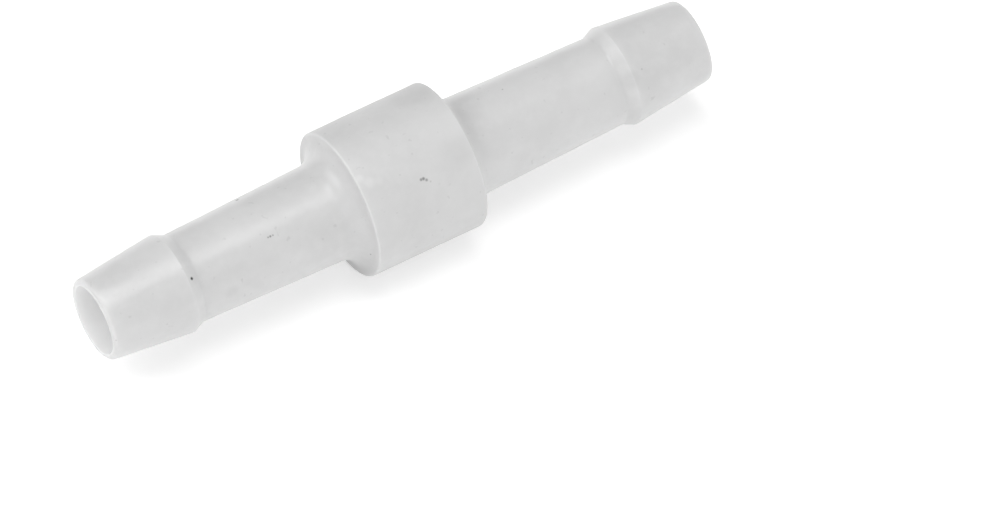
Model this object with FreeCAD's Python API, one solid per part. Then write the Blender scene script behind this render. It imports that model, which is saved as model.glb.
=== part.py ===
"""Straight hose connector, moulded as one piece in natural plastic.

A short tube with a barbed spigot at each end, and a thicker round collar in the middle
that stops both hoses. The bore runs straight through.

Frame: millimetres. X runs along the bore, Z is up, and the origin is the middle of the
bore. The connector lies on its collar, so its lowest line is at Z = -collar_diameter / 2.
"""
import FreeCAD
import Part
import math
import os

# Sizes along the bore
overall_length = 61.6
collar_length = 11.2
barb_length = 8.0            # from the end of the spigot to the barb's crest
shoulder_length = 1.1        # from the crest back down to the neck

# Sizes across the bore
bore_diameter = 6.5
tip_diameter = 7.8           # where the hose starts on to the spigot
crest_diameter = 9.5         # the widest ring of the barb, which grips the hose
neck_diameter = 8.5          # straight behind the barb
root_diameter = 9.4          # where the neck runs into the collar
collar_diameter = 14.0

# Rounded edges, given as radii
mouth_radius = 0.12          # the bore's edge at each end
tip_radius = 0.4
crest_radius = 0.15
heel_radius = 0.7            # the hollow between the barb's shoulder and the neck
collar_radius = 0.2          # the collar's two outer edges

# The flat ring of each collar face, just inside its outer edge. The rest of the face is
# taken up by the large hollow that leads up to it from the neck.
land_width = 0.1
root_radius = (collar_diameter - root_diameter) / 2 - collar_radius - land_width


def spigot_corners():
    """Corners of one spigot's half section, from the bore's mouth to the collar's rim."""
    end = overall_length / 2
    crest = end - barb_length
    heel = crest - shoulder_length
    collar_face = collar_length / 2
    return [
        (end, bore_diameter / 2, mouth_radius),
        (end, tip_diameter / 2, tip_radius),
        (crest, crest_diameter / 2, crest_radius),
        (heel, neck_diameter / 2, heel_radius),
        (collar_face, root_diameter / 2, root_radius),
        (collar_face, collar_diameter / 2, collar_radius),
    ]


def half_section():
    """All corners above the axis, once round: (position along X, distance from it, radius)."""
    right = spigot_corners()
    left = [(-x, r, radius) for x, r, radius in reversed(right)]
    return right + left


def rounding(before, corner, after, radius):
    """The two ends and the middle of the arc that rounds off one corner."""
    to_before = (before - corner).normalize()
    to_after = (after - corner).normalize()
    half_angle = to_before.getAngle(to_after) / 2
    reach = radius / math.tan(half_angle)
    bisector = (to_before + to_after).normalize()
    centre = corner + bisector * (radius / math.sin(half_angle))
    start = corner + to_before * reach
    finish = corner + to_after * reach
    middle = centre - bisector * radius
    return start, middle, finish


def section_wire(corners):
    """A closed wire of straight runs joined by tangent arcs."""
    points = [FreeCAD.Vector(x, 0, r) for x, r, radius in corners]
    radii = [radius for x, r, radius in corners]
    count = len(points)
    arcs = []
    for i in range(count):
        before = points[i - 1]
        after = points[(i + 1) % count]
        arcs.append(rounding(before, points[i], after, radii[i]))
    edges = []
    for i in range(count):
        start, middle, finish = arcs[i]
        edges.append(Part.Arc(start, middle, finish).toShape())
        next_start = arcs[(i + 1) % count][0]
        edges.append(Part.LineSegment(finish, next_start).toShape())
    return Part.Wire(edges)


def hose_connector():
    """The section turned once round the bore's axis."""
    face = Part.Face(section_wire(half_section()))
    axis = FreeCAD.Vector(1, 0, 0)
    return face.revolve(FreeCAD.Vector(0, 0, 0), axis, 360)


os.makedirs("parts", exist_ok=True)
body = hose_connector()
body.exportStep("parts/hose_connector.step")
box = body.BoundBox
print("valid", body.isValid(), "solids", len(body.Solids), "volume mm3", round(body.Volume, 1))
print("size mm", round(box.XLength, 2), round(box.YLength, 2), round(box.ZLength, 2))
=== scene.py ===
# %% [markdown]
# # A barbed hose connector in natural plastic
#
# The object is a short tube, moulded in one shot from an uncoloured, milky plastic. Each end
# is a barbed spigot that a soft hose is pushed over, and the thick round collar in the middle
# stops both hoses. It lies on a white table and is seen from above and from one end.
#
# Its solid comes ready made and true to size. This lesson gives it its looks: a finer skin
# with the slight unevenness of a moulding, the milky plastic, the specks of dirt, the table
# and the light.

import bmesh
import bpy
from math import cos, hypot, pi, radians, sin, tan
from mathutils import Matrix, Vector, noise


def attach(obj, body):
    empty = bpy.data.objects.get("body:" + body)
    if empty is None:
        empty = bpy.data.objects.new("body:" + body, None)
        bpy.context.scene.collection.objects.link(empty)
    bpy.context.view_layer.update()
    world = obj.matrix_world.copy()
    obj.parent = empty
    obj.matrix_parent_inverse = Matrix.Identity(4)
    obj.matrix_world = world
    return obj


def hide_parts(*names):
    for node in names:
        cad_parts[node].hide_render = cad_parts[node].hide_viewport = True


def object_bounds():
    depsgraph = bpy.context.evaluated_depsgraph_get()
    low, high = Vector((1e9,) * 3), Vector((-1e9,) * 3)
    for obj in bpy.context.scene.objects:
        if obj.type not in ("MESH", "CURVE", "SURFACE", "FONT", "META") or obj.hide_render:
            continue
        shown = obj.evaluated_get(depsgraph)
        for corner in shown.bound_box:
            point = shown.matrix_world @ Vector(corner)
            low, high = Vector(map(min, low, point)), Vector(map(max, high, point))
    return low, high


MM = 0.001                         # the scene is in metres, and the lesson's sizes are in mm

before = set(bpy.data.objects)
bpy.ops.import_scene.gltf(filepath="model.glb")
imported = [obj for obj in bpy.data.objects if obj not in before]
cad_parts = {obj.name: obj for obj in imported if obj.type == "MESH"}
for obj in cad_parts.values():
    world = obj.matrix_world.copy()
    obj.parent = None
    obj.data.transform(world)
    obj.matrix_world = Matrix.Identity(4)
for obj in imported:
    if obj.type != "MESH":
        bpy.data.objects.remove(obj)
bpy.context.view_layer.update()
solid_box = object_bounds()
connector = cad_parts["hose_connector"]
print("solid from", [round(v / MM, 2) for v in solid_box[0]], "mm")
print("solid to  ", [round(v / MM, 2) for v in solid_box[1]], "mm")

# %% [markdown]
# ## The camera
#
# The picture was taken from far off, because the tube's two ends come out the same size. A
# lens of 850 mm does that: it sees the part nearly in parallel. The camera looks down at the
# table, and the tube's near end points to the lower left.
#
# The camera is placed by the two angles it looks along, then slid sideways until the tube
# sits where it does in the picture. Turning it instead would change the view of the part.

# %% Camera
PICTURE_WIDTH = 88.4 * MM          # what the picture's width spans at the connector
LENS = 850.0                       # mm
SENSOR = 36.0                      # mm
LOOKS_DOWN = radians(51.4)
LOOKS_ACROSS = radians(31.1)       # turned this far from square to the tube
SLIDE_RIGHT = 9.40 * MM            # from the middle of the bore to the picture's middle
SLIDE_UP = -7.33 * MM

forward = Vector((sin(LOOKS_ACROSS) * cos(LOOKS_DOWN),
                  cos(LOOKS_ACROSS) * cos(LOOKS_DOWN),
                  -sin(LOOKS_DOWN)))
right = Vector((cos(LOOKS_ACROSS), -sin(LOOKS_ACROSS), 0.0))
up = right.cross(forward)
distance = PICTURE_WIDTH * LENS / SENSOR

lens = bpy.data.cameras.new("camera")
lens.lens = LENS
lens.sensor_width = SENSOR
camera = bpy.data.objects.new("camera", lens)
turn = Matrix((right, up, -forward)).transposed().to_4x4()
place = right * SLIDE_RIGHT + up * SLIDE_UP - forward * distance
camera.matrix_world = Matrix.Translation(place) @ turn
bpy.context.scene.collection.objects.link(camera)
bpy.context.scene.camera = camera
print("camera stands", round(distance, 3), "m off")

# %% [markdown]
# ## Helpers for colour and materials
#
# A colour is written as it looks on a screen, as a hex value. The shader works in linear
# light, so one function turns the first into the second. A material is a chain of nodes, and
# one function adds a node with its settings and joins up its inputs.

# %% Colour and node helpers
def linear(hex_colour):
    """A screen colour such as "D9D9D9" as linear red, green, blue and alpha."""
    channels = []
    for i in (0, 2, 4):
        c = int(hex_colour[i:i + 2], 16) / 255
        channels.append(c / 12.92 if c <= 0.04045 else ((c + 0.055) / 1.055) ** 2.4)
    return (*channels, 1.0)


def add(tree, kind, settings=None, **inputs):
    """Adds a node. An input is a value, or the output that it is joined to."""
    node = tree.nodes.new("ShaderNode" + kind)
    for name, value in (settings or {}).items():
        setattr(node, name, value)
    for name, value in inputs.items():
        key = int(name[1:]) if name[0] == "i" and name[1:].isdigit() else name.replace("_", " ")
        if isinstance(value, bpy.types.NodeSocket):
            tree.links.new(value, node.inputs[key])
        else:
            node.inputs[key].default_value = value
    return node


def new_material(name):
    """An empty material and its node tree."""
    material = bpy.data.materials.new(name)
    material.use_nodes = True
    material.node_tree.nodes.clear()
    return material, material.node_tree


print("mid grey on a screen is", round(linear("808080")[0], 3), "in linear light")

# %% [markdown]
# ## The section of the moulding
#
# The real connector is moulded round a straight core pin, so it is one turned shape: a
# section swept once round the bore. Going out from the collar, the section has a large hollow
# up to the collar's face, a neck that thins a little, a soft shoulder, the barb's crest and
# the taper down to the end.
#
# The ready-made solid has this shape, but its faces are long strips that can't hold a
# moulding's unevenness. Another way is to cut those strips finer, which leaves slivers. So
# the same corners are drawn again here and rounded as on the solid. Then the lines between
# them are cut into short runs, and the section is turned.

# %% Corners and roundings
BORE, TIP, CREST, NECK, ROOT, COLLAR = 3.25, 3.9, 4.75, 4.25, 4.7, 7.0     # radii, mm
END, CREST_AT, HEEL_AT, COLLAR_AT = 30.8, 22.8, 21.7, 5.6                  # along the bore, mm
CORNERS = [
    # along the bore, out from it, rounding
    (END, BORE, 0.12),
    (END, TIP, 0.4),
    (CREST_AT, CREST, 0.15),
    (HEEL_AT, NECK, 0.7),
    (COLLAR_AT, ROOT, 2.0),
    (COLLAR_AT, COLLAR, 0.2),
]
ARC_STEPS = 8                      # straight pieces in each rounding
RUN = 0.5 * MM                     # the longest piece between two roundings
ring = CORNERS + [(-x, r, e) for x, r, e in reversed(CORNERS)]

shape = bmesh.new()
corners = [shape.verts.new((x * MM, 0, r * MM)) for x, r, e in ring]
for a, b in zip(corners, corners[1:] + corners[:1]):
    shape.edges.new((a, b))
points = [v.co.copy() for v in corners]
shape.faces.new(corners)
for i, v in enumerate(corners):
    one = (points[i - 1] - points[i]).normalized()
    two = (points[(i + 1) % len(points)] - points[i]).normalized()
    reach = ring[i][2] * MM / tan(one.angle(two) / 2)
    bmesh.ops.bevel(shape, geom=[v], offset=reach, offset_type="OFFSET", segments=ARC_STEPS,
                    profile=0.5, affect="VERTICES", material=-1)
bmesh.ops.delete(shape, geom=shape.faces[:], context="FACES_ONLY")

for edge in list(shape.edges):
    cuts = int(edge.calc_length() / RUN)
    if cuts:
        bmesh.ops.subdivide_edges(shape, edges=[edge], cuts=cuts)
print("section of", len(shape.verts), "points")

# %% Turning the section
TURN_STEPS = 180
bmesh.ops.spin(shape, geom=shape.verts[:] + shape.edges[:], cent=(0, 0, 0), axis=(1, 0, 0),
               angle=2 * pi, steps=TURN_STEPS, use_merge=True)
bmesh.ops.recalc_face_normals(shape, faces=shape.faces[:])
print("turned to", len(shape.faces), "faces,", round(shape.calc_volume() / MM ** 3, 1), "mm3")

# %% [markdown]
# ## The unevenness of a moulding
#
# Plastic shrinks as it cools, and it doesn't shrink evenly, so a moulded wall is never dead
# straight. The dips are some hundredths of a millimetre deep and one to a few millimetres
# across. They can't be seen in the outline, but they break up the long highlight. A
# bump in the material could do that too. Here the skin itself is moved, so that the dips are
# there from every side.
#
# Every dip goes inwards, so the moulding stays inside its solid's size.

# %% Shallow dips in the outer skin
LEAST, DEPTH = 0.008 * MM, 0.030 * MM      # inwards: at least this, and this much on either side
BROAD, FINE = 3.4 * MM, 1.3 * MM           # how far apart the dips are
ELSEWHERE = Vector((7, 3, 5))              # so that the two noises don't line up
OUTER_SKIN = 3.6 * MM                      # farther out than the bore and its mouths
deepest = 0.0
for v in shape.verts:
    out = hypot(v.co.y, v.co.z)
    if out < OUTER_SKIN:
        continue
    wave = 0.5 * noise.noise(v.co / BROAD) + 0.5 * noise.noise(v.co / FINE + ELSEWHERE)
    dip = LEAST + DEPTH * (1 + max(-1.0, min(1.0, wave)))
    deepest = max(deepest, dip)
    v.co.y *= (out - dip) / out
    v.co.z *= (out - dip) / out
for face in shape.faces:
    face.smooth = True
print("deepest dip", round(deepest / MM, 3), "mm")

mesh = bpy.data.meshes.new("moulding")
shape.to_mesh(mesh)
shape.free()
moulding = bpy.data.objects.new("moulding", mesh)
bpy.context.scene.collection.objects.link(moulding)
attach(moulding, "root")
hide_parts("hose_connector")

# %% [markdown]
# ## The plastic
#
# Uncoloured plastic is milky. Light goes in a little way, is scattered and comes out again
# nearby, which softens the shadows and fills the bore with light. The shader's subsurface
# part does that. It is strongest in the bore, where light comes through the thin wall from
# all round, and weaker on the tubes. It is weakest on the collar, where much of it would draw
# a bright line along the edges.
#
# Every pattern below is laid out in millimetres on the object itself.

# %% Where the surface is: bore, tubes or collar
plastic, tree = new_material("natural_polypropylene")
spot = add(tree, "TexCoord")
in_mm = add(tree, "Mapping", i0=spot.outputs["Object"], Scale=(1 / MM, 1 / MM, 1 / MM))
axes = add(tree, "SeparateXYZ", i0=in_mm.outputs[0])
across = add(tree, "CombineXYZ", Y=axes.outputs["Y"], Z=axes.outputs["Z"])
out = add(tree, "VectorMath", {"operation": "LENGTH"}, i0=across.outputs[0])
along = add(tree, "Math", {"operation": "ABSOLUTE"}, i0=axes.outputs["X"])
in_bore = add(tree, "MapRange", {"interpolation_type": "SMOOTHSTEP"},
              i0=out.outputs["Value"], i1=3.2, i2=3.5, i3=1.0, i4=0.0)
on_collar = add(tree, "MapRange", {"interpolation_type": "SMOOTHSTEP"},
                i0=along.outputs[0], i1=5.3, i2=5.9, i3=1.0, i4=0.0)
print("bore inside", BORE, "mm, collar within", COLLAR_AT, "mm of the middle")

# %% [markdown]
# The grey isn't one flat tone. Broad clouds and a finer mottle lie over it, both faint. The
# thick collar is a trace darker than the tubes, which is painted shade, and the bore is
# almost white, which is painted light coming through its thin wall.

# %% Clouds and mottle in the grey, painted shade on the collar, painted light in the bore
CLOUDS, MOTTLE = 0.16, 0.9         # how many to a millimetre
clouds = add(tree, "TexNoise", Vector=in_mm.outputs[0], Scale=CLOUDS, Detail=2.0, Roughness=0.5)
mottle = add(tree, "TexNoise", Vector=in_mm.outputs[0], Scale=MOTTLE, Detail=3.0, Roughness=0.6)
cloudy = add(tree, "MapRange", i0=clouds.outputs[0], i1=0.3, i2=0.7)
grey = add(tree, "Mix", {"data_type": "RGBA"}, i0=cloudy.outputs[0],
           i6=linear("D2D2D2"), i7=linear("D9D9D9"))
flecked = add(tree, "MapRange", i0=mottle.outputs[0], i1=0.42, i2=0.72, i3=0.0, i4=0.35)
grey = add(tree, "Mix", {"data_type": "RGBA"}, i0=flecked.outputs[0],
           i6=grey.outputs[2], i7=linear("DFDFDF"))
# Painted shade: the thick collar's colour is darkened a trace, since less light comes through it
# than through the thin tubes.
collar_painted_shade = add(tree, "MapRange", i0=on_collar.outputs[0], i1=0.0, i2=1.0, i3=0.0, i4=0.15)
grey = add(tree, "Mix", {"data_type": "RGBA"}, i0=collar_painted_shade.outputs[0],
           i6=grey.outputs[2], i7=linear("C8C8C8"))
# Painted light: the bore's colour is raised almost to white, for the light that comes through its
# thin wall.
grey = add(tree, "Mix", {"data_type": "RGBA"}, i0=in_bore.outputs[0],
           i6=grey.outputs[2], i7=linear("F8F8F8"))
print("clouds about", round(1 / CLOUDS, 1), "mm across, mottle about", round(1 / MOTTLE, 1), "mm")

# %% [markdown]
# ## Dirt, painted shade and painted highlights
#
# A few dark grains sit on the moulding or just under its skin. The largest is a smear of
# grains on the collar, and a short tick lies on the near neck. Each grain is a soft round
# spot at its place on the surface. Four wide, very faint spots are painted shade on the
# collar and the tubes. Finer dust is scattered over the whole part by a noise pattern, of
# which only the peaks are kept.
#
# Three pale spots beside the collar's near edge are painted highlights.

# %% Specks and painted shade
SPECKS_AND_PAINTED_SHADE = [
    # x, y, z, radius (mm), how dark
    (-0.01, -4.79, 5.10, 0.20, 0.55),      # the smear on the collar
    (0.22, -4.80, 5.09, 0.22, 0.62),
    (0.45, -4.96, 4.94, 0.20, 0.50),
    (0.75, -5.15, 4.74, 0.14, 0.20),
    (-14.33, -2.46, 3.72, 0.13, 0.55),     # the tick on the near neck
    (-14.11, -2.46, 3.72, 0.15, 0.65),
    (-13.85, -2.47, 3.72, 0.12, 0.50),
    (-22.37, -2.86, 3.54, 0.21, 1.00),     # behind the near crest
    (-14.40, 2.81, 3.45, 0.22, 0.80),
    (-5.82, -5.73, -0.71, 0.12, 0.50),
    (11.69, 0.76, 4.47, 0.12, 0.45),
    (-30.65, -3.69, 1.06, 0.10, 0.35),
    (-30.58, 2.80, 2.70, 0.10, 0.35),
    (-5.68, 3.30, 5.14, 0.10, 0.30),
    (23.84, -3.02, 3.52, 0.12, 0.25),
    # Painted shade: the next four wide, faint spots darken the colour of the tubes and the
    # collar.
    (-19.11, -4.21, 0.97, 0.90, 0.05),     # faint shadows in the plastic
    (22.50, -3.35, 3.18, 1.10, 0.06),
    (4.20, -3.95, 5.78, 2.20, 0.05),
    (3.70, 3.30, 6.17, 3.00, 0.07),
]
dirt_and_painted_shade = None
for x, y, z, radius, dark in SPECKS_AND_PAINTED_SHADE:
    away = add(tree, "VectorMath", {"operation": "DISTANCE"}, i0=in_mm.outputs[0], i1=(x, y, z))
    one = add(tree, "MapRange", {"interpolation_type": "SMOOTHSTEP"}, i0=away.outputs["Value"],
              i1=0.3 * radius, i2=radius, i3=dark, i4=0.0)
    if dirt_and_painted_shade is None:
        dirt_and_painted_shade = one
    else:
        dirt_and_painted_shade = add(tree, "Math", {"operation": "MAXIMUM"}, i0=dirt_and_painted_shade.outputs[0], i1=one.outputs[0])
fine_dust = add(tree, "TexNoise", Vector=in_mm.outputs[0], Scale=1.7, Detail=1.0)
dust = add(tree, "MapRange", {"interpolation_type": "SMOOTHSTEP"}, i0=fine_dust.outputs[0],
           i1=0.70, i2=0.78, i3=0.0, i4=0.10)
dirt_and_painted_shade = add(tree, "Math", {"operation": "MAXIMUM"}, i0=dirt_and_painted_shade.outputs[0], i1=dust.outputs[0])
colour = add(tree, "Mix", {"data_type": "RGBA"}, i0=dirt_and_painted_shade.outputs[0],
             i6=grey.outputs[2], i7=linear("3C3C3C"))
print(len(SPECKS_AND_PAINTED_SHADE), "specks")

# %% Painted highlights beside the collar's near edge
PAINTED_HIGHLIGHTS = [
    # x, y, z, radius (mm), how pale
    (-4.50, -3.42, 6.11, 0.75, 0.20),
    (-5.10, -2.78, 6.43, 0.55, 0.24),
    (-3.60, -3.60, 6.00, 0.60, 0.14),
]
# Painted highlights: each mark lightens the colour beside the collar's near edge.
for x, y, z, radius, light in PAINTED_HIGHLIGHTS:
    away = add(tree, "VectorMath", {"operation": "DISTANCE"}, i0=in_mm.outputs[0], i1=(x, y, z))
    mark = add(tree, "MapRange", {"interpolation_type": "SMOOTHSTEP"}, i0=away.outputs["Value"],
               i1=0.2 * radius, i2=radius, i3=light, i4=0.0)
    colour = add(tree, "Mix", {"data_type": "RGBA"}, i0=mark.outputs[0],
                 i6=colour.outputs[2], i7=linear("F0F0F0"))
print(len(PAINTED_HIGHLIGHTS), "pale marks")

# %% [markdown]
# ## Gloss
#
# The tubes come from a smooth mould and are satin, so the lamp overhead leaves a soft line
# along them. The collar is less glossy: its part of the mould was left with a fine grain, which
# the tubes have only faintly.

# %% Roughness and fine relief
SATIN, DULL = 0.29, 0.5            # roughness of the tubes and of the collar
RELIEF = 0.02                      # mm
rough = add(tree, "MapRange", i0=on_collar.outputs[0], i1=0.0, i2=1.0, i3=SATIN, i4=DULL)
grain = add(tree, "TexNoise", Vector=in_mm.outputs[0], Scale=2.6, Detail=2.0)
strong = add(tree, "Mix", {"data_type": "FLOAT"}, i0=on_collar.outputs[0], i2=0.10, i3=0.30)
bump = add(tree, "Bump", Strength=strong.outputs[0], Distance=RELIEF * MM,
           Height=grain.outputs[0])
print("roughness", SATIN, "on the tubes and", DULL, "on the collar, relief", RELIEF, "mm")

# %% The finished plastic
shader = add(tree, "BsdfPrincipled", Base_Color=colour.outputs[2], Roughness=rough.outputs[0],
             Normal=bump.outputs[0], IOR=1.49, Subsurface_Radius=(1.0, 1.0, 1.0))
outside = add(tree, "Mix", {"data_type": "FLOAT"}, i0=on_collar.outputs[0], i2=0.85, i3=0.25)
milky = add(tree, "Mix", {"data_type": "FLOAT"}, i0=in_bore.outputs[0],
            i2=outside.outputs[0], i3=1.0)
deep = add(tree, "MapRange", i0=in_bore.outputs[0], i1=0.0, i2=1.0, i3=1.2 * MM, i4=3.0 * MM)
tree.links.new(milky.outputs[0], shader.inputs["Subsurface Weight"])
tree.links.new(deep.outputs[0], shader.inputs["Subsurface Scale"])
add(tree, "OutputMaterial", Surface=shader.outputs[0])
mesh.materials.append(plastic)
print(len(tree.nodes), "nodes in the plastic")

# %% [markdown]
# ## The table
#
# The table is plain white and matt. It catches the part's soft shadow and throws light back
# up under it. The picture's background is burnt out to white, which more light would do to
# the part as well. So the table and the room behind it are made lighter only where the camera
# or a reflection sees them.

# %% Table
TABLE = 1.2                        # m across
shape = bmesh.new()
bmesh.ops.create_grid(shape, x_segments=1, y_segments=1, size=TABLE / 2,
                      matrix=Matrix.Translation((0, 0, solid_box[0].z)))
mesh = bpy.data.meshes.new("floor")
shape.to_mesh(mesh)
shape.free()
floor = bpy.data.objects.new("floor", mesh)
bpy.context.scene.collection.objects.link(floor)

white, tree = new_material("white_table")
path = add(tree, "LightPath")
seen = add(tree, "Math", {"operation": "MAXIMUM"}, i0=path.outputs["Is Camera Ray"],
           i1=path.outputs["Is Glossy Ray"])
seen = add(tree, "Math", {"operation": "MAXIMUM"}, i0=seen.outputs[0],
           i1=path.outputs["Is Transmission Ray"])
matt = add(tree, "BsdfDiffuse", Color=linear("F4F4F4"))
glow = add(tree, "Emission", Color=linear("FFFFFF"), Strength=0.38)
lighter = add(tree, "AddShader", i0=matt.outputs[0], i1=glow.outputs[0])
mix = add(tree, "MixShader", i0=seen.outputs[0], i1=matt.outputs[0], i2=lighter.outputs[0])
add(tree, "OutputMaterial", Surface=mix.outputs[0])
mesh.materials.append(white)
print("table at", round(solid_box[0].z / MM, 2), "mm")

# %% [markdown]
# ## The light
#
# The part was photographed in a white tent: light comes from all round, so no side is dark.
# The world gives much of it. One lamp overhead draws the line along the tubes. It is wider
# across them than along them, and the line is strongest on the near barb, whose taper tips it
# towards that lamp. A panel at the upper left reaches into the bore, and shows as a soft light
# in the hollow beside the collar.
#
# The wide panels in front and at the left lift the tones. A low one beyond the tube's far end
# lights what faces away from the others: the near barb's shoulder and the hollow behind the
# collar. These three would draw lines of their own on the tubes, which the picture doesn't
# show, so reflections leave them out.

# %% World
ROOM = 0.37
world = bpy.data.worlds.new("room")
bpy.context.scene.world = world
world.use_nodes = True
tree = world.node_tree
tree.nodes.clear()
path = add(tree, "LightPath")
tent = add(tree, "Background", Color=(1, 1, 1, 1), Strength=ROOM)
backdrop = add(tree, "Background", Color=(1, 1, 1, 1), Strength=1.0)
mix = add(tree, "MixShader", i0=path.outputs["Is Camera Ray"], i1=tent.outputs[0],
          i2=backdrop.outputs[0])
add(tree, "OutputWorld", Surface=mix.outputs[0])
print("room light", ROOM)

# %% Lamps
LAMPS = [
    # name, place (m), width and height (m), watts, seen in reflections
    ("overhead", (0.02, 0.01, 0.60), 0.44, 0.24, 1.20, True),
    ("upper_left", (-0.45, 0.25, 0.50), 0.40, 0.40, 1.55, True),
    ("front", (-0.10, -0.70, 0.25), 0.90, 0.30, 1.95, False),
    ("left", (-0.70, -0.10, 0.25), 0.90, 0.30, 0.50, False),
    ("right", (0.70, 0.00, 0.08), 0.60, 0.16, 0.85, False),
]
for name, place, width, height, watts, in_gloss in LAMPS:
    lamp = bpy.data.lights.new(name, "AREA")
    lamp.shape = "RECTANGLE"
    lamp.size = width
    lamp.size_y = height
    lamp.energy = watts
    panel = bpy.data.objects.new(name, lamp)
    panel.location = place
    panel.rotation_euler = (-Vector(place)).to_track_quat("-Z", "Y").to_euler()
    panel.visible_camera = False
    panel.visible_glossy = in_gloss
    bpy.context.scene.collection.objects.link(panel)
print(len(LAMPS), "lamps,", round(sum(row[4] for row in LAMPS), 2), "W in all")

# %% [markdown]
# ## Last settings
#
# Standard view keeps the colours as they were written. The new skin must not be larger than
# the solid it stands for.

# %% View
bpy.context.scene.view_settings.view_transform = "Standard"
bpy.context.view_layer.update()
